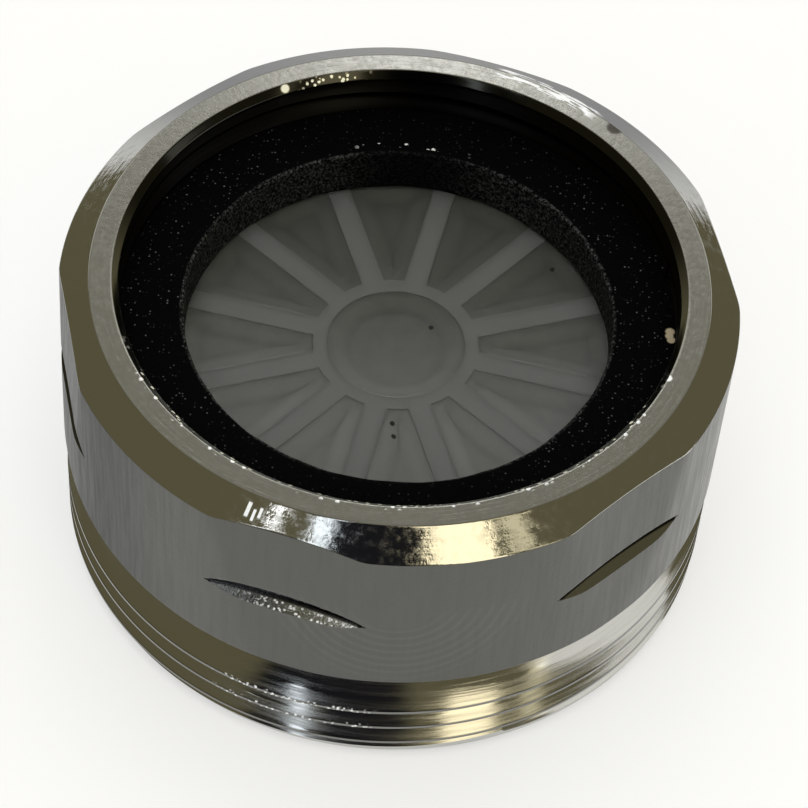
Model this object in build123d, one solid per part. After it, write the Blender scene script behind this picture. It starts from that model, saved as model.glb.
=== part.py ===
from build123d import *
import math
import os

# Tap aerator that screws on a spout: chromed housing, inlet washer, strainer and mixing insert.
# Millimetres, +Z up. The origin is the middle of the outlet face that the part stands on.

# Housing, outside
height = 12.5
collar_d = 23.9
collar_height = 7.55
top_chamfer_width = 1.1
top_chamfer_height = 0.7
outlet_thread_d = 23.81
outlet_thread_length = 2.95
thread_lead = 0.45
undercut_depth = 0.7

# Grip facets and the notch in each of them
facet_count = 6
facet_angle = 15.0
facet_depth = 0.3
notch_drop = 4.35
notch_depth = 0.42
notch_cutter_r = 17.0
notch_upper_angle = 56.5
notch_lower_angle = 33.5

# Housing, inside
inlet_thread_minor_d = 19.62
inlet_lead = 0.25
washer_drop = 1.85
relief_depth = 0.55
shoulder_width = 0.75

# Inlet washer
washer_bore_d = 15.1
washer_thickness = 1.85

# Strainer frame and its gauze
frame_thickness = 0.5
frame_ring_lap = 0.2
spoke_count = 12
spoke_angle = 20.0
spoke_width = 0.82
hub_bore_d = 4.96
hub_ring_width = 0.52
gauze_thickness = 0.2
gauze_skirt = 0.35
gauze_pitch = 2.0
gauze_gap = 0.8

# Jet plate
jet_plate_thickness = 0.7
jet_chamber_depth = 0.4
jet_rim_width = 1.0
jet_count = 12
jet_length = 1.1
jet_width = 0.9
jet_circle_d = 11.2

# Mixing sleeve
flange_thickness = 0.8
sleeve_bore_d = 15.0
sleeve_wall = 0.8
sleeve_recess = 0.5
sleeve_lip_height = 0.5
sleeve_lip_width = 0.6
air_slot_count = 6
air_slot_width = 2.4
air_slot_height = 0.9
air_slot_drop = 0.2

# Pieces stacked in the sleeve
arm_count = 4
arm_width = 0.7
wedge_width = 1.6
wedge_height = 1.0
wedge_lift = 0.5
screen_thickness = 0.2
screen_pitch = 2.2
screen_gap = 1.6
screen_margin = 0.7
spacer_height = 0.8
spacer_wall = 0.5
grid_thickness = 0.9
grid_rim_width = 0.75
grid_rib_count = 6
grid_rib_width = 0.5
grid_hub_d = 3.0

# Clearances
pocket_gap = 0.15
washer_gap = 0.1
push_gap = 0.05

# Radii that follow from the sizes above
collar_r = collar_d / 2
outlet_thread_r = outlet_thread_d / 2
undercut_r = outlet_thread_r - undercut_depth
inlet_r = inlet_thread_minor_d / 2
relief_r = inlet_r + relief_depth
pocket_r = inlet_r
insert_r = pocket_r - pocket_gap
bore_r = pocket_r - shoulder_width
washer_r = relief_r - washer_gap
washer_bore_r = washer_bore_d / 2
frame_ring_r = washer_bore_r + frame_ring_lap
gauze_r = insert_r - gauze_skirt - push_gap
sleeve_bore_r = sleeve_bore_d / 2
sleeve_r = sleeve_bore_r + sleeve_wall
stack_r = sleeve_bore_r - push_gap
jet_circle_r = jet_circle_d / 2

# Heights of the inlet stack, from the rim down to the shoulder
collar_z = height - collar_height
facet_top_z = height - top_chamfer_height
washer_top_z = height - washer_drop
washer_z = washer_top_z - washer_thickness
gauze_top_z = washer_z - frame_thickness
gauze_z = gauze_top_z - gauze_thickness
jet_floor_z = gauze_z - jet_chamber_depth
jet_plate_z = jet_floor_z - jet_plate_thickness
shoulder_z = jet_plate_z - flange_thickness
relief_top_z = washer_top_z + push_gap

# Heights of the stack in the sleeve, from its lip up
grid_z = sleeve_recess + sleeve_lip_height
lower_screen_z = grid_z + grid_thickness
spacer_z = lower_screen_z + screen_thickness
upper_screen_z = spacer_z + spacer_height
diffuser_z = upper_screen_z + screen_thickness


def turned(*corners):
    """Solid of revolution about Z from its (radius, height) corners."""
    return revolve(Plane.XZ * make_face(Polyline(*corners, close=True)), Axis.Z)


def ring(outer_r, inner_r, bottom, top):
    """Plain round ring between two heights."""
    return turned((inner_r, bottom), (outer_r, bottom), (outer_r, top), (inner_r, top))


def disc(radius, bottom, top):
    """Plain round disc between two heights."""
    return Pos(0, 0, bottom) * Cylinder(radius, top - bottom, align=(Align.CENTER, Align.CENTER, Align.MIN))


def bars(count, start_angle, inner_r, outer_r, width, bottom, top):
    """Parallel-sided bars that run outwards, spread evenly round the axis."""
    bar = Pos(inner_r, 0, bottom) * Box(
        outer_r - inner_r, width, top - bottom, align=(Align.MIN, Align.CENTER, Align.MIN)
    )
    return [place * bar for place in PolarLocations(0, count, start_angle)]


def gauze_disc(radius, open_r, pitch, gap, bottom, thickness):
    """Thin disc with a square field of gaps that stays inside open_r."""
    steps = math.floor(open_r / pitch)
    rows = [step * pitch for step in range(-steps, steps + 1)]
    corner = gap / 2
    gaps = [
        Pos(x, y) * Rectangle(gap, gap)
        for x in rows
        for y in rows
        if math.hypot(abs(x) + corner, abs(y) + corner) < open_r
    ]
    return Pos(0, 0, bottom) * extrude(Circle(radius) - gaps, amount=thickness)


def facet_r(z):
    """Distance of a grip facet from the axis: it runs out at the foot of the collar."""
    return collar_r - facet_depth * (z - collar_z) / (facet_top_z - collar_z)


def make_housing():
    """One turned brass piece, with the grip facets and notches milled round its collar."""
    body = turned(
        (bore_r, 0),
        (outlet_thread_r - thread_lead, 0),
        (outlet_thread_r, thread_lead),
        (outlet_thread_r, outlet_thread_length),
        (undercut_r, outlet_thread_length + undercut_depth),
        (undercut_r, collar_z),
        (collar_r, collar_z),
        (collar_r, facet_top_z),
        (collar_r - top_chamfer_width, height),
        (inlet_r + inlet_lead, height),
        (inlet_r, height - inlet_lead),
        (inlet_r, relief_top_z),
        (relief_r, relief_top_z),
        (relief_r, washer_z),
        (pocket_r, washer_z),
        (pocket_r, shoulder_z),
        (bore_r, shoulder_z),
    )
    outside = collar_r + top_chamfer_width
    facet_side = make_face(
        Polyline(
            (facet_r(collar_z), collar_z),
            (facet_r(height), height),
            (outside, height),
            (outside, collar_z),
            close=True,
        )
    )
    facet = extrude(Plane.XZ * facet_side, amount=collar_r / 2, both=True)
    notch_z = height - notch_drop
    notch_floor_r = facet_r(notch_z) - notch_depth
    notch_reach = notch_depth + facet_depth
    notch_rise = notch_reach * math.tan(math.radians(notch_upper_angle))
    notch_fall = notch_reach * math.tan(math.radians(notch_lower_angle))
    notch_disc = turned(
        (notch_cutter_r - notch_reach, notch_z - notch_fall),
        (notch_cutter_r, notch_z),
        (notch_cutter_r - notch_reach, notch_z + notch_rise),
    )
    notch = Pos(notch_floor_r + notch_cutter_r, 0, 0) * notch_disc
    for place in PolarLocations(0, facet_count, facet_angle):
        body = body - place * facet - place * notch
    return body


def make_inlet_washer():
    """Flat rubber washer, held captive in the relief groove under the inlet thread."""
    return ring(washer_r, washer_bore_r, washer_z, washer_top_z)


def make_strainer_frame():
    """Moulded frame: outer ring under the washer, spokes and hub ring, with a skirt round the gauze."""
    hub_r = hub_bore_d / 2
    hub_outer_r = hub_r + hub_ring_width
    outer_ring = ring(insert_r, frame_ring_r, gauze_top_z, washer_z)
    skirt = ring(insert_r, insert_r - gauze_skirt, gauze_z, gauze_top_z)
    hub = ring(hub_outer_r, hub_r, gauze_top_z, washer_z)
    spoke_inner_r = hub_r + hub_ring_width / 2
    spoke_outer_r = frame_ring_r + frame_ring_lap
    spokes = bars(
        spoke_count, spoke_angle, spoke_inner_r, spoke_outer_r, spoke_width, gauze_top_z, washer_z
    )
    return (outer_ring + skirt + hub + spokes) - disc(hub_r, gauze_top_z, washer_z)


def make_strainer_gauze():
    """Fine gauze under the frame, drawn with a coarser field of gaps."""
    return gauze_disc(gauze_r, washer_bore_r, gauze_pitch, gauze_gap, gauze_z, gauze_thickness)


def make_jet_plate():
    """Plate with a circle of slotted jets and a rim that carries the gauze."""
    rim = ring(insert_r, insert_r - jet_rim_width, jet_floor_z, gauze_z)
    plate = disc(insert_r, jet_plate_z, jet_floor_z)
    jet_inner_r = jet_circle_r - jet_length / 2
    jet_outer_r = jet_circle_r + jet_length / 2
    jets = bars(jet_count, 0, jet_inner_r, jet_outer_r, jet_width, jet_plate_z, jet_floor_z)
    return plate + rim - jets


def make_mixing_sleeve():
    """Sleeve that hangs by its flange on the housing's shoulder, with air slots under the flange."""
    flange = ring(insert_r, sleeve_bore_r, shoulder_z, jet_plate_z)
    tube = ring(sleeve_r, sleeve_bore_r, sleeve_recess, jet_plate_z)
    lip = ring(sleeve_r, sleeve_bore_r - sleeve_lip_width, sleeve_recess, grid_z)
    slot_top_z = shoulder_z - air_slot_drop
    slots = bars(
        air_slot_count,
        0,
        sleeve_bore_r - sleeve_wall,
        sleeve_r + sleeve_wall,
        air_slot_width,
        slot_top_z - air_slot_height,
        slot_top_z,
    )
    return flange + tube + lip - slots


def make_diffuser():
    """Splash ring: a wedge under the jets on short arms that stand on the upper screen."""
    wedge_z = diffuser_z + wedge_lift
    wedge = turned(
        (jet_circle_r - wedge_width / 2, wedge_z),
        (jet_circle_r + wedge_width / 2, wedge_z),
        (jet_circle_r, wedge_z + wedge_height),
    )
    arm_top_z = wedge_z + wedge_height / 2
    return wedge + bars(arm_count, 0, jet_circle_r, stack_r, arm_width, diffuser_z, arm_top_z)


def make_screen(bottom):
    """Round wire screen, drawn with a coarser field of gaps."""
    open_r = stack_r - screen_margin
    return gauze_disc(stack_r, open_r, screen_pitch, screen_gap, bottom, screen_thickness)


def make_screen_spacer():
    """Ring that keeps the two screens apart."""
    return ring(stack_r, stack_r - spacer_wall, spacer_z, upper_screen_z)


def make_outlet_grid():
    """Ribbed grid on the sleeve's lip that holds the screens up."""
    grid_top_z = grid_z + grid_thickness
    rim_inner_r = stack_r - grid_rim_width
    rim = ring(stack_r, rim_inner_r, grid_z, grid_top_z)
    hub = disc(grid_hub_d / 2, grid_z, grid_top_z)
    rib_outer_r = rim_inner_r + grid_rim_width / 2
    ribs = bars(grid_rib_count, 0, 0, rib_outer_r, grid_rib_width, grid_z, grid_top_z)
    return rim + hub + ribs


pieces = {
    "housing": make_housing(),
    "inlet_washer": make_inlet_washer(),
    "strainer_frame": make_strainer_frame(),
    "strainer_gauze": make_strainer_gauze(),
    "jet_plate": make_jet_plate(),
    "mixing_sleeve": make_mixing_sleeve(),
    "diffuser": make_diffuser(),
    "upper_screen": make_screen(upper_screen_z),
    "screen_spacer": make_screen_spacer(),
    "lower_screen": make_screen(lower_screen_z),
    "outlet_grid": make_outlet_grid(),
}

os.makedirs("parts", exist_ok=True)
for name, piece in pieces.items():
    export_step(piece, f"parts/{name}.step")
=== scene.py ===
import math

import bpy
import numpy as np
from mathutils import Matrix, Vector


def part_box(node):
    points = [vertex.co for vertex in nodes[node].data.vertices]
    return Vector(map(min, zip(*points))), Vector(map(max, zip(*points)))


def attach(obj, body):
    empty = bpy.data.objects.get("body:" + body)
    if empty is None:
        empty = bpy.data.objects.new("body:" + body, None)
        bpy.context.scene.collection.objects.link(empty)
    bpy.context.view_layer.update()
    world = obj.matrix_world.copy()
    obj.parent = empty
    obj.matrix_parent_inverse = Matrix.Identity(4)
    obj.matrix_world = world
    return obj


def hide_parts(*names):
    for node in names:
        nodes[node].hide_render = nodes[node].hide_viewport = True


# Looks of the tap aerator. Its sizes are in millimetres and become metres when a mesh is made.
# The floor and the lamps are in metres.

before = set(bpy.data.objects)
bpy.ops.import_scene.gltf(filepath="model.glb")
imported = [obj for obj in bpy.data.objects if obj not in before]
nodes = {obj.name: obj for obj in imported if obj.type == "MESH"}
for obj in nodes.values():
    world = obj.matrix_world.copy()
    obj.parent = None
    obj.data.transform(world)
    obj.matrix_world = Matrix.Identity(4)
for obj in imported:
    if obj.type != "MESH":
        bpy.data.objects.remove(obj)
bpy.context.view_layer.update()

MM = 0.001
WHITE = (1, 1, 1)


def node_box(name):
    """Lowest and highest corner of a CAD node, in millimetres."""
    low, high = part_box(name)
    return np.array(low) / MM, np.array(high) / MM


# Main sizes, read from the frame
_, housing_high = node_box("housing")
washer_low, washer_high = node_box("inlet_washer")
gauze_low, gauze_high = node_box("strainer_gauze")
height = housing_high[2]
washer_z = washer_low[2]
washer_top_z = washer_high[2]

# Housing, outside
collar_r = 11.95
collar_height = 7.55
top_chamfer_width = 1.1
top_chamfer_height = 0.7
outlet_r = 11.905
thread_lead = 0.45
undercut_depth = 0.83
facet_count = 6
facet_angle = math.radians(15)
facet_depth = 0.3
notch_drop = 4.35
notch_depth = 0.37
notch_cutter_r = 27.5
notch_upper_slope = math.tan(math.radians(64.5))
notch_lower_slope = math.tan(math.radians(35))

# Housing, inside
inlet_r = 9.81
inlet_lead = 0.25
relief_depth = 0.55
shoulder_width = 0.75
shoulder_z = 6.2
push_gap = 0.05

# Threads, 27 turns to the inch
thread_pitch = 25.4 / 27
thread_land = thread_pitch / 8
thread_depth = 0.5
thread_phase = 0.37
thread_runout = 0.28
thread_stop_z = 3.4
inlet_thread_depth = 0.42
half_land_share = thread_land / thread_pitch / 2

# Sizes that follow from these
collar_z = height - collar_height
facet_top_z = height - top_chamfer_height
rim_r = collar_r - top_chamfer_width
rim_inner_r = inlet_r + inlet_lead
undercut_r = outlet_r - undercut_depth
notch_z = height - notch_drop
relief_r = inlet_r + relief_depth
relief_top_z = washer_top_z + push_gap
bore_r = inlet_r - shoulder_width

# Washer
washer_r = washer_high[0]
washer_bore_r = 7.55
washer_round = 0.14

# Strainer frame
spoke_count = 12
spoke_angle = math.radians(20)
spoke_width = 0.82
hub_ring_r = 2.74
hub_ring_width = 0.52
frame_ring_lap = 0.2
frame_ring_r = washer_bore_r + frame_ring_lap

# Gauze, moulded to the frame in fillets that end just below the frame's upper face
gauze_lift = 0.2
gauze_face_z = gauze_high[2] + gauze_lift
fillet_width = 0.9
fillet_step = 0.03
fillet_lap = 0.12

# Mesh fineness, with a support row on each side of a rounded edge
half_facet_columns = 22
gap_columns = 56
columns = facet_count * (2 * half_facet_columns + gap_columns)
solve_rounds = 6
edge_round = 0.02
support_share = 3
edge_clearance = 4 * edge_round
facet_blend = 0.06

even_angles = facet_angle + np.arange(columns) / columns * 2 * math.pi


def facet_distance(z):
    """Distance of a grip facet from the axis: it runs out at the foot of the collar."""
    return collar_r - facet_depth * (z - collar_z) / (facet_top_z - collar_z)


def facet_half_angle(z):
    """Half of the angle that a facet takes up at a height, kept open a little at its foot."""
    least = math.radians(5)
    share = np.clip(facet_distance(z) / collar_r, -1, 1)
    return np.maximum(np.arccos(share), least)


def column_angles(z):
    """Angle of every column at its height, so that one column runs along each facet edge."""
    z = np.broadcast_to(z, columns)
    per_sector = columns // facet_count
    sector = np.arange(columns) // per_sector
    step = np.arange(columns) % per_sector
    span = 2 * math.pi / facet_count
    half = facet_half_angle(z)
    inside = step / half_facet_columns * half
    between = half + (step - half_facet_columns) / gap_columns * (span - 2 * half)
    after = span - (per_sector - step) / half_facet_columns * half
    local = np.where(step < half_facet_columns, inside, between)
    local = np.where(step > half_facet_columns + gap_columns, after, local)
    return facet_angle + sector * span + local


def from_facet(angle):
    """Angle from the middle of the nearest facet."""
    span = 2 * math.pi / facet_count
    return (angle - facet_angle + span / 2) % span - span / 2


def smooth_min(first, second, blend):
    """Smaller of two values, with the corner between them eased."""
    share = np.clip(0.5 + 0.5 * (second - first) / blend, 0, 1)
    return second + (first - second) * share - blend * share * (1 - share)


def smooth_step(value):
    """0 below nought, 1 above one, eased between."""
    share = np.clip(value, 0, 1)
    return share ** 2 * (3 - 2 * share)


def wall_radius(angle, z):
    """Radius of the collar's wall, cylinder or facet, without the notches."""
    return smooth_min(collar_r, facet_distance(z) / np.cos(from_facet(angle)), facet_blend)


def notch_reach(angle, side):
    """Height from the notch's valley to its edge, above (+1) or below (-1), nought past its ends."""
    centre = facet_distance(notch_z) - notch_depth + notch_cutter_r
    slope = notch_upper_slope if side > 0 else notch_lower_slope
    turn = from_facet(angle)
    reach = np.zeros_like(angle)
    for _ in range(solve_rounds):
        radius = wall_radius(angle, notch_z + side * reach)
        across = np.hypot(centre - radius * np.cos(turn), radius * np.sin(turn))
        reach = np.maximum(notch_cutter_r - across, 0) * slope
    return reach


def notch_radius(angle, rise):
    """Radius of the notch's V wall at a height above or below its valley."""
    centre = facet_distance(notch_z) - notch_depth + notch_cutter_r
    turn = from_facet(angle)
    cutter = notch_cutter_r - np.where(rise > 0, rise / notch_upper_slope, -rise / notch_lower_slope)
    across = centre * np.cos(turn)
    return across - np.sqrt(np.maximum(across ** 2 - centre ** 2 + cutter ** 2, 0))


def chamfer_edge():
    """Angle, radius and height of the line where the collar's wall meets the top chamfer."""
    slope = top_chamfer_width / top_chamfer_height
    z = np.full(columns, facet_top_z)
    for _ in range(solve_rounds):
        angle = column_angles(z)
        radius = wall_radius(angle, z)
        z = height - (radius - rim_r) / slope
    return angle, radius, z


def curve(start, corner, stop, steps):
    """Points of a smooth curve that leaves one point and meets another, drawn towards a corner."""
    for share in np.linspace(0, 1, steps):
        yield (1 - share) ** 2 * start + 2 * share * (1 - share) * corner + share ** 2 * stop


def rounded(before, corner, after, size, steps=3):
    """Points of one rounded corner of a profile, with a support row on each side."""
    before, corner, after = (
        np.stack(np.broadcast_arrays(*point, np.zeros(columns))[:2]) for point in (before, corner, after)
    )
    back = (before - corner) / np.hypot(*(before - corner))
    ahead = (after - corner) / np.hypot(*(after - corner))
    bend = curve(corner + back * size, corner, corner + ahead * size, steps)
    return [corner + back * support_share * size, *bend, corner + ahead * support_share * size]


def off_crest(angle, z, phase):
    """How far down a thread's flank a point lies, from 0 on the crest to 1 at the root."""
    turn = z / thread_pitch - phase - angle / (2 * math.pi)
    away = np.abs(turn - np.round(turn)) * thread_pitch
    return np.clip((away - thread_land / 2) / (thread_pitch / 2 - thread_land / 2), 0, 1)


def behind(angle):
    """0 on the side seen in the picture, 1 at the back."""
    return np.maximum(np.sin(angle), 0) ** 0.5


def thread_top(angle):
    """Height of the top crest, where the flare starts; it climbs in front and drops again at the back."""
    whole_turns = 2
    turn = angle % (2 * math.pi) / (2 * math.pi)
    rise = np.where(turn > 0.5, turn, 0.75 + np.cos(angle) / 4)
    return (whole_turns + thread_phase + rise) * thread_pitch + thread_land / 2


def outlet_thread_radius(angle, z):
    """Radius of the outlet thread: its grooves run into the lead below and run out at the back above."""
    fade = np.clip((thread_top(angle) - z) / thread_runout, 0, 1)
    fade = 1 - behind(angle) * (1 - fade)
    radius = outlet_r - thread_depth * off_crest(angle, z, thread_phase) * fade
    return np.minimum(radius, outlet_r - thread_lead + z)


def inlet_thread_radius(angle, z):
    """Radius of the inlet thread, which fades out at both ends of its wall."""
    room = np.minimum(height - inlet_lead - z, z - relief_top_z)
    fade = np.clip(room / thread_runout, 0, 1)
    return inlet_r + inlet_thread_depth * off_crest(angle, z, 0) * fade


class Loft:
    """Rows of points round the axis, joined into one mesh, with a finish named for each strip."""

    def __init__(self, finish):
        self.rows = []
        self.strips = []
        self.climbs = []
        self.finish = finish

    def row(self, radius, z, angle=even_angles):
        """Adds a row, joined to the last one by a strip in the present finish."""
        radius, z, angle = np.broadcast_arrays(radius, z, angle)
        self.rows.append(np.stack([radius * np.cos(angle), radius * np.sin(angle), z], 1))
        last = len(self.rows) - 1
        if last:
            self.strips.append((last - 1, last, np.broadcast_to(self.finish, columns)))

    def follow(self, profile, finishes, angle, size, steps=3):
        """Rounds the inner corners of a profile, and changes the finish on the middle of each."""
        corners = zip(profile, profile[1:], profile[2:])
        for place, (before, corner, after) in enumerate(corners):
            points = rounded(before, corner, after, size, steps)
            for step, (radius, z) in enumerate(points):
                self.finish = finishes[place if step <= len(points) // 2 else place + 1]
                self.row(radius, z, angle)

    def helix(self, shares, phase, low_z, high_z, radius_of, upward):
        """Rows that climb one pitch in a turn, cut off at two heights."""
        # More turns than fit: what lies past the two heights is pressed flat on them
        first_turn = math.floor(low_z / thread_pitch) - 3
        last_turn = math.ceil(np.max(high_z) / thread_pitch) + 1
        levels = [turn + share for turn in range(first_turn, last_turn + 1) for share in shares]
        first = len(self.rows)
        for level in levels if upward else reversed(levels):
            z = np.clip((level + phase + even_angles / (2 * math.pi)) * thread_pitch, low_z, high_z)
            self.row(radius_of(even_angles, z), z)
        self.climbs.append((first, len(self.rows) - 1, len(shares) if upward else -len(shares)))

    def close(self):
        """Joins the last row to the first."""
        self.strips.append((len(self.rows) - 1, 0, np.broadcast_to(self.finish, columns)))

    def faces(self):
        """Quads of all strips, as corner indices, with the finish of each."""
        column = np.arange(columns)
        following = (column + 1) % columns
        for low, high, finish in self.strips:
            low_next = np.full(columns, low)
            high_next = np.full(columns, high)
            for first, last, shift in self.climbs:
                if first <= low and high <= last:
                    low_next[-1] = min(max(low + shift, first), last)
                    high_next[-1] = min(max(high + shift, first), last)
            corners = [
                low * columns + column,
                low_next * columns + following,
                high_next * columns + following,
                high * columns + column,
            ]
            yield np.stack(corners, 1), finish

    def mesh(self, name, finishes, sharp_degrees):
        """Object made of the rows, with a material for each finish."""
        names = list(finishes)
        faces = []
        slots = []
        for quads, finish in self.faces():
            faces.append(quads)
            slots += [names.index(kind) for kind in finish]
        points = np.concatenate(self.rows)
        return mesh_object(name, points, np.concatenate(faces), slots, finishes.values(), sharp_degrees)


def mesh_object(name, points, faces, face_finish, finishes, sharp_degrees):
    """Mesh in metres from points in millimetres, with shared corners welded and empty faces left out."""
    weld_grid = 1e-5
    keys = np.round(points / weld_grid).astype(np.int64)
    _, keep, where = np.unique(keys, axis=0, return_index=True, return_inverse=True)
    where = where.reshape(-1)
    clean = []
    slots = []
    for face, finish in zip(where[faces], face_finish):
        corners = [a for a, b in zip(face, np.roll(face, 1)) if a != b]
        if len(set(corners)) == len(corners) > 2:
            clean.append(corners)
            slots.append(finish)
    mesh = bpy.data.meshes.new(name)
    mesh.from_pydata((points[keep] * MM).tolist(), [], clean)
    for material in finishes:
        mesh.materials.append(material)
    mesh.polygons.foreach_set("material_index", slots)
    mesh.update()
    mesh.shade_smooth()
    mesh.set_sharp_from_angle(angle=math.radians(sharp_degrees))
    made = bpy.data.objects.new(name, mesh)
    bpy.context.scene.collection.objects.link(made)
    return made


class Nodes:
    """Node tree with short calls for what goes into it."""

    def __init__(self, tree):
        self.tree = tree

    def feed(self, socket, value):
        """Links an output to a socket, or writes a plain value there."""
        if isinstance(value, bpy.types.NodeSocket):
            self.tree.links.new(value, socket)
        else:
            socket.default_value = value

    def node(self, kind, **inputs):
        """New node with its named inputs fed."""
        made = self.tree.nodes.new(kind)
        for name, value in inputs.items():
            self.feed(made.inputs[name.replace("_", " ")], value)
        return made

    def math(self, operation, first, second=None, clamp=False):
        """Result of an operation on one or two numbers."""
        made = self.tree.nodes.new("ShaderNodeMath")
        made.operation = operation
        made.use_clamp = clamp
        self.feed(made.inputs[0], first)
        if second is not None:
            self.feed(made.inputs[1], second)
        return made.outputs[0]

    def between(self, value, low, high, to_low=0.0, to_high=1.0):
        """Smooth step from to_low at low to to_high at high."""
        made = self.node("ShaderNodeMapRange", Value=value)
        made.interpolation_type = "SMOOTHSTEP"
        for name, number in (("From Min", low), ("From Max", high), ("To Min", to_low), ("To Max", to_high)):
            made.inputs[name].default_value = number
        return made.outputs[0]

    def mix(self, share, first, second):
        """Colour between two colours, through the colour sockets of a node that has others too."""
        made = self.tree.nodes.new("ShaderNodeMix")
        made.data_type = "RGBA"
        self.feed(made.inputs[0], share)
        for socket, color in ((made.inputs[6], first), (made.inputs[7], second)):
            self.feed(socket, color if isinstance(color, bpy.types.NodeSocket) else (*color, 1))
        return made.outputs[2]

    def all_of(self, *masks):
        """Product of masks."""
        whole = masks[0]
        for mask in masks[1:]:
            whole = self.math("MULTIPLY", whole, mask)
        return whole

    def any_of(self, *masks):
        """Largest of masks."""
        whole = masks[0]
        for mask in masks[1:]:
            whole = self.math("MAXIMUM", whole, mask)
        return whole


class Finish(Nodes):
    """Principled material with calls for grain, wear and painted glints, at places in millimetres."""

    def __init__(self, name, color, metallic, roughness):
        self.material = bpy.data.materials.new(name)
        self.material.use_nodes = True
        super().__init__(self.material.node_tree)
        self.shader = self.tree.nodes["Principled BSDF"]
        self.set("Base Color", (*color, 1))
        self.set("Metallic", metallic)
        self.set("Roughness", roughness)
        place = self.node("ShaderNodeTexCoord").outputs["Object"]
        larger = self.tree.nodes.new("ShaderNodeVectorMath")
        larger.operation = "SCALE"
        self.feed(larger.inputs["Vector"], place)
        self.feed(larger.inputs["Scale"], 1 / MM)
        self.place = larger.outputs["Vector"]
        parts = self.node("ShaderNodeSeparateXYZ", Vector=self.place)
        self.x, self.y, self.z = parts.outputs
        squares = [self.math("POWER", part, 2.0) for part in (self.x, self.y)]
        self.radius = self.math("SQRT", self.math("ADD", *squares))
        self.east = self.math("DIVIDE", self.x, self.radius)
        self.north = self.math("DIVIDE", self.y, self.radius)

    def set(self, name, value):
        """Gives the shader a value, or the output that drives it."""
        self.feed(self.shader.inputs[name], value)

    def noise(self, place, scale, detail=2.0, roughness=0.5):
        """Cloudy value that stays near a half."""
        made = self.node("ShaderNodeTexNoise", Vector=place, Scale=scale, Detail=detail, Roughness=roughness)
        return made.outputs[0]

    def turned(self, around, along, level, detail=3.0, roughness=0.5):
        """Noise without a seam round the axis: how fine it is around, and along a height or radius."""
        place = self.node("ShaderNodeCombineXYZ")
        parts = ((self.east, around), (self.north, around), (level, along))
        for socket, (part, fineness) in zip(place.inputs, parts):
            self.feed(socket, self.math("MULTIPLY", part, fineness))
        return self.noise(place.outputs[0], 1.0, detail, roughness)

    def cells(self, fineness):
        """Distance to the nearest cell point, and two random values of that cell."""
        made = self.node("ShaderNodeTexVoronoi", Vector=self.place, Scale=fineness)
        pick = self.node("ShaderNodeSeparateColor", Color=made.outputs["Color"])
        return made.outputs["Distance"], pick.outputs[0], pick.outputs[1]

    def distance(self, point):
        """Distance from a point."""
        made = self.tree.nodes.new("ShaderNodeVectorMath")
        made.operation = "DISTANCE"
        self.feed(made.inputs[0], self.place)
        self.feed(made.inputs[1], point)
        return made.outputs["Value"]

    def front(self):
        """1 on the front of the part, 0 at its sides and back."""
        side_north = -0.3
        front_north = -0.6
        return self.between(self.north, side_north, front_north)

    def near(self, value, middle, reach):
        """1 where a value lies close to the middle, fading to 0 at a reach from it."""
        full_share = 0.7
        away = self.math("ABSOLUTE", self.math("SUBTRACT", value, middle))
        return self.between(away, reach * full_share, reach, 1.0, 0.0)

    def spot(self, point, size):
        """1 inside a soft round spot at a point, 0 outside it."""
        full_share = 0.6
        return self.between(self.distance(point), size * full_share, size, 1.0, 0.0)

    def scratch(self, degrees, inner, outer, width):
        """1 on a thin line along a radius, between two distances from the axis."""
        cosine = math.cos(math.radians(degrees))
        sine = math.sin(math.radians(degrees))
        ahead = self.math("ADD", self.math("MULTIPLY", self.x, cosine), self.math("MULTIPLY", self.y, sine))
        aside = self.math("MULTIPLY", self.x, sine)
        across = self.math("SUBTRACT", aside, self.math("MULTIPLY", self.y, cosine))
        along = self.near(ahead, (inner + outer) / 2, (outer - inner) / 2)
        return self.all_of(along, self.near(across, 0.0, width))

    def grains(self, fineness, share):
        """1 on scattered grains: how many to the millimetre, and the share of them that shows."""
        full_size = 0.3
        soft_size = 0.5
        away, pick, _ = self.cells(fineness)
        shown = self.between(pick, 1 - share, 1.02 - share)
        return self.all_of(self.between(away, full_size, soft_size, 1.0, 0.0), shown)

    def wear_and_glints(self, paint, pale_marks, pale=(0.9, 0.92, 0.95)):
        """Metal in one colour, with pale places: real wear, and painted glints where pale grains stand for
        sparkles of light.
        """
        self.set("Base Color", self.mix(pale_marks, paint, pale))
        self.set("Metallic", self.math("SUBTRACT", 1.0, pale_marks))

    def bump(self, level, depth, under=None):
        """Normal from a height between 0 and 1, with its depth in millimetres."""
        made = self.node("ShaderNodeBump", Height=level, Distance=depth * MM)
        if under is not None:
            self.feed(made.inputs["Normal"], under)
        return made.outputs[0]


def rubbed(look):
    """1 on pale rubbed streaks along the edge between rim and chamfer, at the back on the right."""
    streaks = look.between(look.turned(9.0, 7.0, look.radius), 0.5, 0.56)
    at_right = look.near(look.east, 0.44, reach=0.2)
    at_back = look.between(look.north, 0.3, 0.5)
    return look.all_of(streaks, at_right, at_back, look.near(look.radius, rim_r, reach=0.4))


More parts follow.
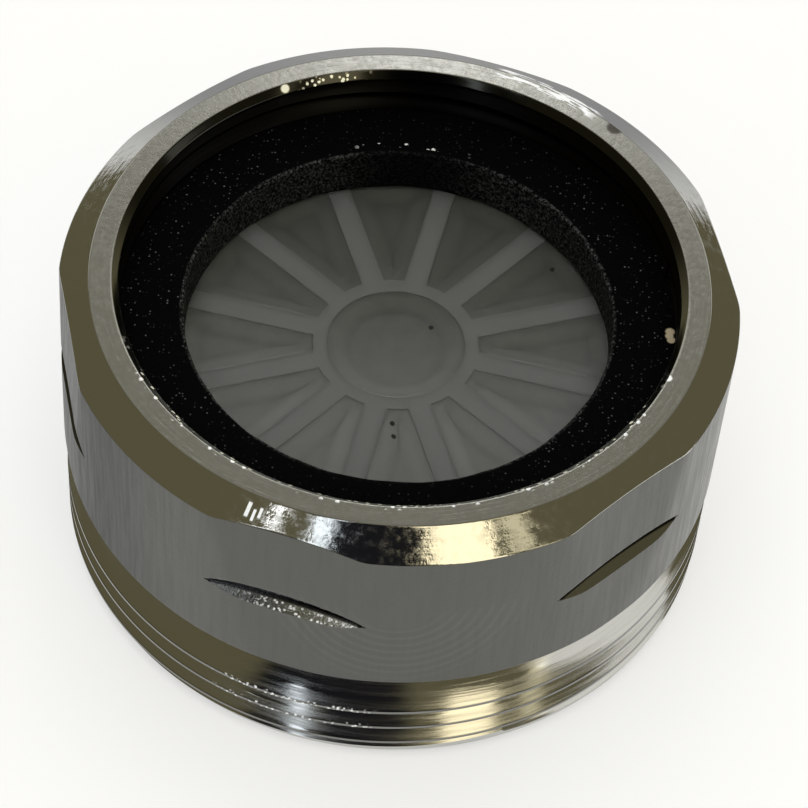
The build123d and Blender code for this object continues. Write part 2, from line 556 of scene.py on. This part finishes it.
def rim_finish():
    """Faced rim: satin chrome with concentric tool marks, a stain, a nick, rubbed streaks and painted glints
    along its inner edge in front.
    """
    chrome = (0.38, 0.38, 0.357)
    brown = (0.1, 0.093, 0.085)
    look = Finish("rim_satin", chrome, metallic=1.0, roughness=0.16)
    marks = look.turned(3.0, 9.0, look.radius, roughness=0.55)
    grit = look.noise(look.place, scale=5.0, detail=3.0, roughness=0.6)
    look.set("Roughness", look.between(grit, 0.35, 0.65, 0.13, 0.2))
    normal = look.bump(marks, depth=0.004)
    look.set("Normal", look.bump(grit, depth=0.003, under=normal))
    stain = look.spot((7.32, 7.96, height), size=0.38)
    nick = look.spot((9.36, -3.66, height), size=0.18)
    # Painted glints: pale grains along the rim's inner edge in front stand for sparkles of light
    edge = look.between(look.radius, rim_inner_r + 0.05, rim_inner_r + 0.2, 1.0, 0.0)
    edge_glints = look.all_of(edge, look.front(), look.grains(fineness=5.0, share=0.3))
    look.wear_and_glints(look.mix(stain, chrome, brown), look.any_of(edge_glints, nick, rubbed(look)))
    return look.material


def chamfer_finish():
    """Turned chamfer: bright mottled chrome, painted darker at the back as painted shade, with painted
    glints along its foot in front.
    """
    chrome = (0.56, 0.56, 0.54)
    darker_paint = (0.17, 0.175, 0.18)
    shade_tint = (0.75, 0.75, 0.75)
    look = Finish("chamfer_bright", chrome, metallic=1.0, roughness=0.08)
    mottle = look.noise(look.place, scale=3.2, detail=3.0, roughness=0.6)
    look.set("Roughness", look.between(mottle, 0.4, 0.7, 0.06, 0.16))
    normal = look.bump(mottle, depth=0.004)
    look.set("Normal", look.bump(look.turned(2.0, 7.0, look.radius), depth=0.004, under=normal))
    # Painted glints: pale grains along the chamfer's foot on the front left stand for sparkles of light
    foot = look.between(look.z, facet_top_z + 0.04, facet_top_z + 0.12, 1.0, 0.0)
    on_left = look.near(look.x, -4.6, reach=2.2)
    foot_glints = look.all_of(foot, on_left, look.front(), look.grains(fineness=5.0, share=0.35))
    scratches = look.any_of(
        look.scratch(degrees=-112.6, inner=11.05, outer=11.55, width=0.08),
        look.scratch(degrees=-111.4, inner=11.2, outer=11.6, width=0.06),
        look.scratch(degrees=-110.4, inner=11.1, outer=11.45, width=0.06),
    )
    # Painted shade: base colour and specular tint darker at the back
    at_back = look.between(look.north, 0.3, 0.8)
    look.set("Specular Tint", look.mix(at_back, WHITE, shade_tint))
    look.wear_and_glints(look.mix(at_back, chrome, darker_paint), look.any_of(foot_glints, scratches, rubbed(look)))
    return look.material


def lead_finish():
    """Lead of the inlet: bright in front and painted dark at the back as painted shade, with pale yellow
    grains and flecks that are painted highlights.
    """
    chrome = (0.5, 0.5, 0.48)
    darker_paint = (0.04, 0.04, 0.035)
    yellow = (0.95, 0.93, 0.75)
    look = Finish("lead_bright", chrome, metallic=1.0, roughness=0.12)
    look.set("Normal", look.bump(look.turned(2.0, 7.0, look.radius), depth=0.004))
    # Painted shade: darker towards the back
    at_back = look.between(look.north, -0.2, 0.3)
    # Painted highlights: pale yellow grains in front, and flecks and a large fleck at the back left, stand
    # for glints of light
    pale_marks = look.all_of(look.front(), look.grains(fineness=5.0, share=0.35))
    back_left = look.all_of(look.near(look.x, -3.0, reach=1.4), look.between(look.y, 0.0, 1.0))
    back_glints = look.all_of(back_left, look.grains(fineness=7.0, share=0.4))
    large_glint = look.spot((-4.82, 8.7, height - 0.1), size=0.2)
    look.wear_and_glints(look.mix(at_back, chrome, darker_paint), look.any_of(pale_marks, back_glints, large_glint), yellow)
    return look.material


def band_finish():
    """Collar wall: satin chrome painted dark and darker on the left as painted shade, with upright brush
    marks and faint arcs in front.
    """
    # Painted shade: the chrome is painted dark, for the shadowed floor it reflects
    chrome = (0.116, 0.117, 0.108)
    darker_paint = (0.066, 0.068, 0.069)
    shade_tint = (0.7, 0.7, 0.7)
    bright = (0.128, 0.129, 0.12)
    arc_centre = (0.8, -11.9, 9.7)
    arc_spacing = 0.4
    look = Finish("band_satin", chrome, metallic=1.0, roughness=0.34)
    # Painted shade: base colour and specular tint darker on the left
    at_left = look.between(look.east, -0.5, -0.9)
    look.set("Specular Tint", look.mix(at_left, WHITE, shade_tint))
    away = look.distance(arc_centre)
    wave = look.math("SINE", look.math("MULTIPLY", away, 2 * math.pi / arc_spacing))
    arcs = look.all_of(
        look.between(wave, 0.0, 0.8),
        look.between(away, 1.2, 2.0),
        look.between(away, 4.0, 5.0, 1.0, 0.0),
        look.between(look.z, 9.3, 8.8),
    )
    look.set("Base Color", look.mix(arcs, look.mix(at_left, chrome, darker_paint), bright))
    brush = look.turned(60.0, 0.35, look.z, roughness=0.6)
    grain = look.noise(look.place, scale=5.0, detail=3.0, roughness=0.6)
    look.set("Roughness", look.between(brush, 0.3, 0.7, 0.28, 0.4))
    normal = look.bump(brush, depth=0.006)
    look.set("Normal", look.bump(grain, depth=0.006, under=normal))
    return look.material


def notch_finish():
    """Milled notch, painted dark from its valley up and darker on the left as painted shade, with two rows
    of painted glints in front.
    """
    chrome = (0.36, 0.36, 0.34)
    darker_paint = (0.12, 0.12, 0.114)
    dark = (0.03, 0.03, 0.03)
    look = Finish("notch_milled", chrome, metallic=1.0, roughness=0.12)
    look.set("Normal", look.bump(look.noise(look.place, scale=14.0), depth=0.003))
    # Painted shade: darker at the left end, and dark on the upper flank
    in_front = look.all_of(look.between(look.y, 0.0, -1.0), look.between(look.x, 0.5, 0.8, 1.0, 0.0))
    shaded_left_end = look.all_of(in_front, look.between(look.x, -4.0, -2.0, 1.0, 0.0))
    shaded_upper_flank = look.between(look.z, notch_z - 0.07, notch_z - 0.03)
    paint = look.mix(shaded_upper_flank, look.mix(shaded_left_end, chrome, darker_paint), dark)
    # Painted glints: two rows of pale grains in front stand for sparkles of light
    rows = look.any_of(
        look.near(look.z, notch_z - 0.11, reach=0.055),
        look.near(look.z, notch_z - 0.23, reach=0.045),
    )
    right_end = look.all_of(in_front, look.between(look.x, -5.0, -3.2))
    look.wear_and_glints(paint, look.all_of(rows, right_end, look.grains(fineness=8.5, share=0.85)))
    return look.material


def thread_finish():
    """Thread and undercut: bright turned chrome with streaks round the axis, darker crests, and painted
    glints on the upper crests in front.
    """
    chrome = (0.54, 0.54, 0.52)
    darker_paint = (0.22, 0.22, 0.21)
    glints_from_z = 1.3
    look = Finish("thread_bright", chrome, metallic=1.0, roughness=0.12)
    streak = look.turned(2.5, 9.0, look.z, detail=4.0, roughness=0.6)
    look.set("Roughness", look.between(streak, 0.35, 0.65, 0.08, 0.2))
    look.set("Normal", look.bump(streak, depth=0.005))

    # Height above or below the middle of the nearest crest
    turned = look.math("DIVIDE", look.math("ARCTAN2", look.y, look.x), 2 * math.pi)
    climbed = look.math("DIVIDE", look.z, thread_pitch)
    turn = look.math("SUBTRACT", climbed, look.math("ADD", turned, thread_phase))
    away = look.math("MULTIPLY", look.math("PINGPONG", turn, 0.5), thread_pitch)

    on_thread = look.between(look.z, thread_stop_z, thread_stop_z + 0.1, 1.0, 0.0)
    crest = look.between(away, thread_land * 0.5, thread_land * 0.8, 1.0, 0.0)
    paint = look.mix(look.all_of(crest, on_thread), chrome, darker_paint)
    # Painted glints: pale grains along the crests' edges on the upper turns, front left, stand for sparkles
    # of light
    glint_band = look.between(away, thread_land * 0.6, thread_land, 1.0, 0.0)
    crest_glints = look.all_of(glint_band, look.grains(fineness=7.5, share=0.75))
    upper_turns = look.all_of(on_thread, look.between(look.z, glints_from_z, glints_from_z + 0.2))
    in_front = look.between(look.y, 0.0, -1.0)
    left_half = look.all_of(look.between(look.x, -5.8, -4.6), look.between(look.x, -0.4, 0.6, 1.0, 0.0))
    look.wear_and_glints(paint, look.all_of(crest_glints, upper_turns, in_front, left_half))
    return look.material


def bore_finish():
    """Inside of the housing: metal painted nearly black, as painted shade of the dark inside."""
    look = Finish("bore_turned", (0.006, 0.006, 0.006), metallic=1.0, roughness=0.3)
    look.set("Normal", look.bump(look.turned(2.0, 8.0, look.z), depth=0.006))
    return look.material


def rubber_finish():
    """Washer: matte black rubber with pale dust, thickest at the sides, a gritty bore and a beige fleck."""
    black = (0.0008, 0.001, 0.001)
    pale = (0.6, 0.63, 0.6)
    beige = (0.4, 0.33, 0.22)
    look = Finish("washer_rubber", black, metallic=0.0, roughness=0.8)
    look.set("Specular IOR Level", 0.04)
    beside = look.math("ABSOLUTE", look.east)
    away, pick, bright = look.cells(fineness=9.0)
    motes = look.all_of(look.between(away, 0.15, 0.4, 1.0, 0.0), look.between(pick, 0.6, 0.65))
    dust = look.all_of(motes, look.math("POWER", bright, 4.0), look.between(beside, 0.3, 0.8, 0.04, 0.16))
    cloud = look.noise(look.place, scale=10.0, detail=3.0, roughness=0.7)
    wall = look.between(look.radius, washer_bore_r + 0.1, washer_bore_r + 0.2, 1.0, 0.0)
    at_sides = look.between(beside, 0.1, 0.5, 0.15, 1.0)
    grit = look.all_of(look.between(cloud, 0.42, 0.75, 0.0, 0.13), wall, at_sides)
    at_back = look.all_of(look.near(look.radius, 8.0, reach=0.12), look.between(look.north, 0.96, 0.98))
    row = look.all_of(at_back, look.grains(fineness=5.0, share=0.3))
    dusty = look.mix(look.any_of(dust, grit, row), black, pale)
    fleck = look.any_of(
        look.spot((9.62, 0.0, washer_top_z), size=0.2),
        look.spot((9.6, -0.2, washer_top_z), size=0.18),
        look.spot((9.66, -0.38, washer_top_z), size=0.18),
    )
    look.set("Base Color", look.mix(fleck, dusty, beige))
    grain = look.noise(look.place, scale=9.0, detail=4.0, roughness=0.65)
    look.set("Normal", look.bump(grain, depth=0.03))
    return look.material


def plastic_finish(name, shaded_back_color, lit_front_color, specks=()):
    """Moulded plastic that lets light through, with dark specks and painted light: darker at the back and
    paler in front, paler still on slopes.
    """
    scatter_depth = 2
    mottle_depth = 3.0
    back_y = 6.5
    front_y = -3.5
    slope_light_gain = 1.2
    speck_size = 0.12
    speck_color = (0.01, 0.01, 0.01)
    look = Finish(name, shaded_back_color, metallic=0.0, roughness=0.5)
    look.set("Specular IOR Level", 0.3)
    look.set("Subsurface Weight", 1.0)
    look.set("Subsurface Radius", WHITE)
    look.set("Subsurface Scale", scatter_depth * MM)
    # Painted shade and light: darker towards the back, paler towards the front
    cloud = look.noise(look.place, scale=1.4, detail=3.0, roughness=0.6)
    mottle = look.math("MULTIPLY", cloud, mottle_depth)
    in_front = look.between(look.math("ADD", look.y, mottle), back_y, front_y)
    normal = look.node("ShaderNodeTexCoord").outputs["Normal"]
    upward = look.node("ShaderNodeSeparateXYZ", Vector=normal).outputs["Z"]
    # Painted light: slopes and walls paler than flat faces
    slope_lit_back = tuple(part * slope_light_gain for part in shaded_back_color)
    slope_lit_front = tuple(part * slope_light_gain for part in lit_front_color)
    flat = look.mix(in_front, shaded_back_color, lit_front_color)
    slope_lit = look.mix(in_front, slope_lit_back, slope_lit_front)
    paint = look.mix(look.between(upward, 1.0, 0.87), flat, slope_lit)
    for point in specks:
        paint = look.mix(look.spot(point, speck_size), paint, speck_color)
    look.set("Base Color", paint)
    look.set("Normal", look.bump(look.noise(look.place, scale=12.0), depth=0.004))
    return look.material


def steel_finish():
    """Wire of the screens."""
    look = Finish("screen_steel", (0.5, 0.5, 0.49), metallic=1.0, roughness=0.3)
    look.set("Roughness", look.between(look.noise(look.place, scale=8.0), 0.3, 0.7, 0.22, 0.4))
    return look.material


def add_outlet(loft):
    """Outlet face, thread, flare and undercut, up to the collar's foot."""
    loft.row(bore_r, 0)
    loft.finish = "thread"
    loft.row(outlet_r - 2 * thread_lead, 0)

    # Rows in shares of the pitch: the crest's edges, then a flank, the root and the other flank
    crest = [-1.5 * half_land_share, -half_land_share, half_land_share, 1.5 * half_land_share]
    shares = [*crest, 0.28, 0.47, 0.5, 0.53, 0.72]
    top_z = thread_top(even_angles)
    loft.helix(shares, thread_phase, 0, top_z, outlet_thread_radius, upward=True)

    # The flare goes in and up by its own width, and its bend point lies about half-way
    flare_bend = np.array([[-0.54], [0.46]])
    flare_stop = np.array([[-1], [1]])
    start = np.stack([outlet_thread_radius(even_angles, top_z), top_z])
    flare = start[0] - undercut_r
    for radius, z in curve(start, start + flare * flare_bend, start + flare * flare_stop, steps=8):
        loft.row(radius, z)
    loft.row(undercut_r, collar_z)


def add_collar(loft):
    """Collar wall with its facets and notches, up to just below the top chamfer."""
    foot = column_angles(collar_z)
    wall_z = collar_z + top_chamfer_height
    loft.follow(
        [
            (undercut_r, collar_z),
            (wall_radius(foot, collar_z), collar_z),
            (wall_radius(foot, wall_z), wall_z),
        ],
        ["thread", "band"], foot, edge_round,
    )

    least_reach = 0.02
    margin = 0.05
    wall_rows = 10
    flank_rows = 4
    notch_angle = column_angles(notch_z)
    cut = notch_reach(notch_angle, 1) > 0
    low_reach = np.maximum(notch_reach(notch_angle, -1), least_reach)
    high_reach = np.maximum(notch_reach(notch_angle, 1), least_reach)

    # Wall below the notches
    wall_start = collar_z + support_share * edge_round
    for step in range(1, wall_rows + 1):
        z = wall_start + (notch_z - low_reach - margin - wall_start) * step / wall_rows
        angle = column_angles(z)
        loft.row(wall_radius(angle, z), z, angle)

    # Notches, from their lower edge through the valley to their upper edge
    for step in range(-flank_rows, flank_rows + 1):
        reach = high_reach if step > 0 else low_reach
        z = notch_z + reach * step / flank_rows
        radius = wall_radius(notch_angle, z)
        if abs(step) < flank_rows:
            radius = np.where(cut, np.minimum(radius, notch_radius(notch_angle, z - notch_z)), radius)
        loft.row(radius, z, notch_angle)
        loft.finish = np.where(cut & np.roll(cut, -1), "notch", "band") if step < flank_rows else "band"

    # Wall above the notches, whose columns drift over to those of the chamfer's edge
    edge_angle, _, edge_z = chamfer_edge()
    top_start = notch_z + high_reach + margin
    top_stop = edge_z - edge_clearance
    for step in range(wall_rows + 1):
        z = top_start + (top_stop - top_start) * step / wall_rows
        angle = column_angles(z) + (edge_angle - column_angles(edge_z)) * step / wall_rows
        loft.row(wall_radius(angle, z), z, angle)


def add_inlet(loft):
    """Top chamfer, rim, lead, inlet thread, washer groove and shoulder."""
    edge_angle, edge_r, edge_z = chamfer_edge()
    top_stop = edge_z - edge_clearance
    loft.follow(
        [
            (wall_radius(edge_angle, top_stop), top_stop),
            (edge_r, edge_z),
            (rim_r, height),
            (rim_inner_r, height),
            (inlet_r, height - inlet_lead),
            (inlet_r, relief_top_z),
        ],
        ["band", "chamfer", "rim", "lead", "bore"], edge_angle, edge_round,
    )
    shares = [-half_land_share, half_land_share, 0.28, 0.5, 0.72]
    top_z = height - inlet_lead - edge_clearance
    loft.helix(shares, 0, relief_top_z, top_z, inlet_thread_radius, upward=False)
    for radius, z in [
        (relief_r, relief_top_z),
        (relief_r, washer_z),
        (inlet_r, washer_z),
        (inlet_r, shoulder_z),
        (bore_r, shoulder_z),
    ]:
        loft.row(radius, z)


def make_housing():
    """Chromed housing, one mesh with a finish for each kind of cut."""
    finishes = {
        "rim": rim_finish(),
        "chamfer": chamfer_finish(),
        "lead": lead_finish(),
        "band": band_finish(),
        "notch": notch_finish(),
        "thread": thread_finish(),
        "bore": bore_finish(),
    }
    loft = Loft("bore")
    add_outlet(loft)
    add_collar(loft)
    add_inlet(loft)
    loft.close()
    return loft.mesh("housing_turned", finishes, sharp_degrees=30)


def make_washer():
    """Cut rubber washer with worn edges and a slightly uneven bore."""
    # Waves round the bore, each with its depth, count and start
    waves = [(0.02, 5, 1), (0.012, 13, 0), (0.008, 31, 2)]
    uneven = sum(depth * np.sin(count * even_angles + start) for depth, count, start in waves)
    most_uneven = sum(depth for depth, _, _ in waves)
    bore = washer_bore_r + most_uneven + uneven
    corners = [(bore, washer_z), (washer_r, washer_z), (washer_r, washer_top_z), (bore, washer_top_z)]
    loft = Loft("rubber")
    profile = [corners[-1], *corners, corners[0]]
    loft.follow(profile, ["rubber"] * len(profile), even_angles, washer_round, steps=6)
    loft.close()
    return loft.mesh("washer_ring", {"rubber": rubber_finish()}, sharp_degrees=50)


def gauze_top(radius, angle):
    """Height of the gauze's upper face: it meets spokes and rings in fillets and runs on flat under them."""
    span = 2 * math.pi / spoke_count
    turn = (angle - spoke_angle + span / 2) % span - span / 2
    gaps = [np.abs(radius - hub_ring_r) - hub_ring_width / 2, frame_ring_r - radius]
    if radius > hub_ring_r:
        gaps.append(radius * np.abs(np.sin(turn)) - spoke_width / 2)
    gaps = np.stack(np.broadcast_arrays(*gaps, angle)[:-1])
    free = np.prod(smooth_step(gaps / fillet_width), axis=0)
    climb = washer_z - fillet_step - gauze_face_z
    under_frame = np.min(gaps, axis=0) < -fillet_lap
    return np.where(under_frame, gauze_high[2], gauze_face_z + climb * (1 - free))


def make_gauze(material):
    """Very fine gauze under the frame, a closed thin disc that is moulded to each spoke and ring."""
    upper_rows = 30
    fillet_rows = 8
    lower_rows = 12
    loft = Loft("gauze")
    outer = gauze_high[0]
    fillets = [
        hub_ring_r - hub_ring_width / 2 - fillet_width,
        hub_ring_r + hub_ring_width / 2,
        frame_ring_r - fillet_width,
    ]
    fine = [np.linspace(start, start + fillet_width, fillet_rows) for start in fillets]
    for radius in np.unique(np.concatenate([np.linspace(0, outer, upper_rows), *fine])):
        loft.row(radius, gauze_top(radius, even_angles))
    for radius in np.linspace(outer, 0, lower_rows):
        loft.row(radius, gauze_low[2])
    return loft.mesh("gauze_sheet", {"gauze": material}, sharp_degrees=30)


def dress(piece, node):
    """Puts a new piece in the place of a CAD node."""
    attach(piece, "root")
    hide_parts(node)


def make_camera():
    """Camera fitted to the photograph through the circles of the rim, washer and collar."""
    elevation = math.radians(51.17)
    roll = math.radians(-4.65)
    aside, above, away = -0.0995, 4.487, 104.5
    image_pixels = 808
    focal_pixels = 3000
    back = Vector((0, -math.cos(elevation), math.sin(elevation)))
    upward = Vector((0, math.sin(elevation), math.cos(elevation)))
    east = Vector((1, 0, 0))
    right = math.cos(roll) * east - math.sin(roll) * upward
    up = math.sin(roll) * east + math.cos(roll) * upward
    place = Vector((0, 0, height)) - aside * right - above * up + away * back
    data = bpy.data.cameras.new("camera")
    data.sensor_width = 36
    data.lens = focal_pixels / image_pixels * data.sensor_width
    data.clip_start = 0.005
    camera = bpy.data.objects.new("camera", data)
    bpy.context.scene.collection.objects.link(camera)
    camera.matrix_world = Matrix.Translation(place * MM) @ Matrix((right, up, back)).transposed().to_4x4()
    bpy.context.scene.camera = camera


def make_floor():
    """Plain pale floor that takes shadows, and is half plain white where it is seen or reflected."""
    half = 4.0
    corners = [(-half, -half, 0), (half, -half, 0), (half, half, 0), (-half, half, 0)]
    mesh = bpy.data.meshes.new("floor")
    mesh.from_pydata(corners, [], [(0, 1, 2, 3)])
    floor = bpy.data.objects.new("floor", mesh)
    bpy.context.scene.collection.objects.link(floor)
    look = Finish("floor_pale", (0.95, 0.95, 0.95), metallic=0.0, roughness=0.9)
    look.set("Specular IOR Level", 0.0)
    rays = look.node("ShaderNodeLightPath")
    seen = look.math("ADD", rays.outputs["Is Camera Ray"], rays.outputs["Is Glossy Ray"], clamp=True)
    seen = look.math("ADD", seen, rays.outputs["Is Transmission Ray"], clamp=True)
    white = look.node("ShaderNodeEmission", Color=(*WHITE, 1))
    white_share = 0.5
    blend = look.node("ShaderNodeMixShader", Fac=look.math("MULTIPLY", seen, white_share))
    look.feed(blend.inputs[1], look.shader.outputs[0])
    look.feed(blend.inputs[2], white.outputs[0])
    look.feed(look.tree.nodes["Material Output"].inputs["Surface"], blend.outputs[0])
    mesh.materials.append(look.material)


def softbox(name, toward, width, length, radiance, color=WHITE, shown=True):
    """Rectangular lamp a metre away that faces the object, and that shows in gloss or only lights it."""
    data = bpy.data.lights.new(name, "AREA")
    data.shape = "RECTANGLE"
    data.size = width
    data.size_y = length
    data.color = color
    data.energy = radiance * math.pi * data.size * data.size_y
    lamp = bpy.data.objects.new(name, data)
    bpy.context.scene.collection.objects.link(lamp)
    direction = Vector(toward).normalized()
    lamp.location = direction
    lamp.rotation_euler = direction.to_track_quat("Z", "Y").to_euler()
    lamp.visible_glossy = shown


def make_world():
    """Dim warm room, dark in front where the camera stands, pale below the horizon."""
    warm = (0.15, 0.135, 0.077)
    shade = (0.012, 0.012, 0.014)
    pale = (0.9, 0.9, 0.9)
    world = bpy.data.worlds.new("room")
    bpy.context.scene.world = world
    world.use_nodes = True
    room = Nodes(world.node_tree)
    toward = room.node("ShaderNodeTexCoord").outputs["Generated"]
    x, y, z = room.node("ShaderNodeSeparateXYZ", Vector=toward).outputs

    # The dark patch lies in front between two sides, and reaches further left lower down
    low_left = room.all_of(room.between(x, -0.54, -0.46), room.between(z, 0.74, 0.64))
    past_left = room.any_of(room.between(x, -0.24, -0.18), low_left)
    dark = room.all_of(past_left, room.between(x, 0.2, 0.12), room.between(y, -0.02, -0.15))
    color = room.mix(dark, warm, shade)
    color = room.mix(room.between(z, 0.0, -0.03), color, pale)
    room.feed(room.tree.nodes["Background"].inputs["Color"], color)


bpy.context.scene.view_settings.view_transform = "Standard"
make_camera()
make_floor()
make_world()

# Lamps that show as bright patches in the chrome
warm_white = (1.0, 0.88, 0.6)
gold = (1.0, 0.9, 0.62)
cool_white = (0.85, 0.92, 1.0)
near_white = (0.95, 0.97, 1.0)
softbox("back_softbox", (0, 0.866, 0.5), width=1.6, length=0.56, radiance=0.6)
softbox("back_strip", (0, 0.72, 0.694), width=0.1, length=0.14, radiance=1.5)
softbox("ceiling", (0, 0.5, 0.866), width=1.0, length=0.55, radiance=0.22)
softbox("warm_strip", (0.307, -0.501, 0.809), width=0.22, length=0.77, radiance=2.0, color=warm_white)
softbox("gold_strip", (0.6, -0.48, 0.64), width=0.08, length=1.1, radiance=0.8, color=gold)
softbox("cool_strip", (-0.229, -0.526, 0.819), width=0.06, length=0.81, radiance=2.0, color=cool_white)
softbox("white_strip", (-0.39, -0.45, 0.8), width=0.025, length=0.3, radiance=3.0, color=near_white)
softbox("right_softbox", (0.93, -0.25, 0.27), width=0.8, length=0.5, radiance=0.9)

# Lamps that only light the rubber, the plastic and the floor
daylight = (0.97, 0.985, 1.0)
softbox("key", (0, 0.12, 0.99), width=0.9, length=0.9, radiance=2.5, color=daylight, shown=False)
softbox("front_fill", (-0.2, -0.55, 0.8), width=1.0, length=1.0, radiance=1.1, color=daylight, shown=False)

dress(make_housing(), "housing")
dress(make_washer(), "inlet_washer")

# Painted shade and light in the plastics: each back colour is darker than its front colour
milky = plastic_finish("milky_plastic", shaded_back_color=(0.105, 0.108, 0.104), lit_front_color=(0.125, 0.13, 0.127))
gauze_specks = [
    (5.5, 4.36, gauze_face_z),
    (1.21, 1.11, gauze_face_z),
    (0.11, -3.6, gauze_face_z + 0.22),
    (0.2, -4.1, gauze_face_z + 0.13),
]
panel = plastic_finish(
    "panel_gauze", shaded_back_color=(0.055, 0.057, 0.051), lit_front_color=(0.125, 0.129, 0.124), specks=gauze_specks,
)
white = plastic_finish("white_plastic", shaded_back_color=(0.6, 0.6, 0.57), lit_front_color=(0.62, 0.62, 0.59))
steel = steel_finish()
dress(make_gauze(panel), "strainer_gauze")
finish_of_node = {
    "strainer_frame": milky,
    "jet_plate": white,
    "mixing_sleeve": white,
    "diffuser": white,
    "screen_spacer": white,
    "outlet_grid": white,
    "upper_screen": steel,
    "lower_screen": steel,
}
for name, material in finish_of_node.items():
    nodes[name].material_slots[0].material = material
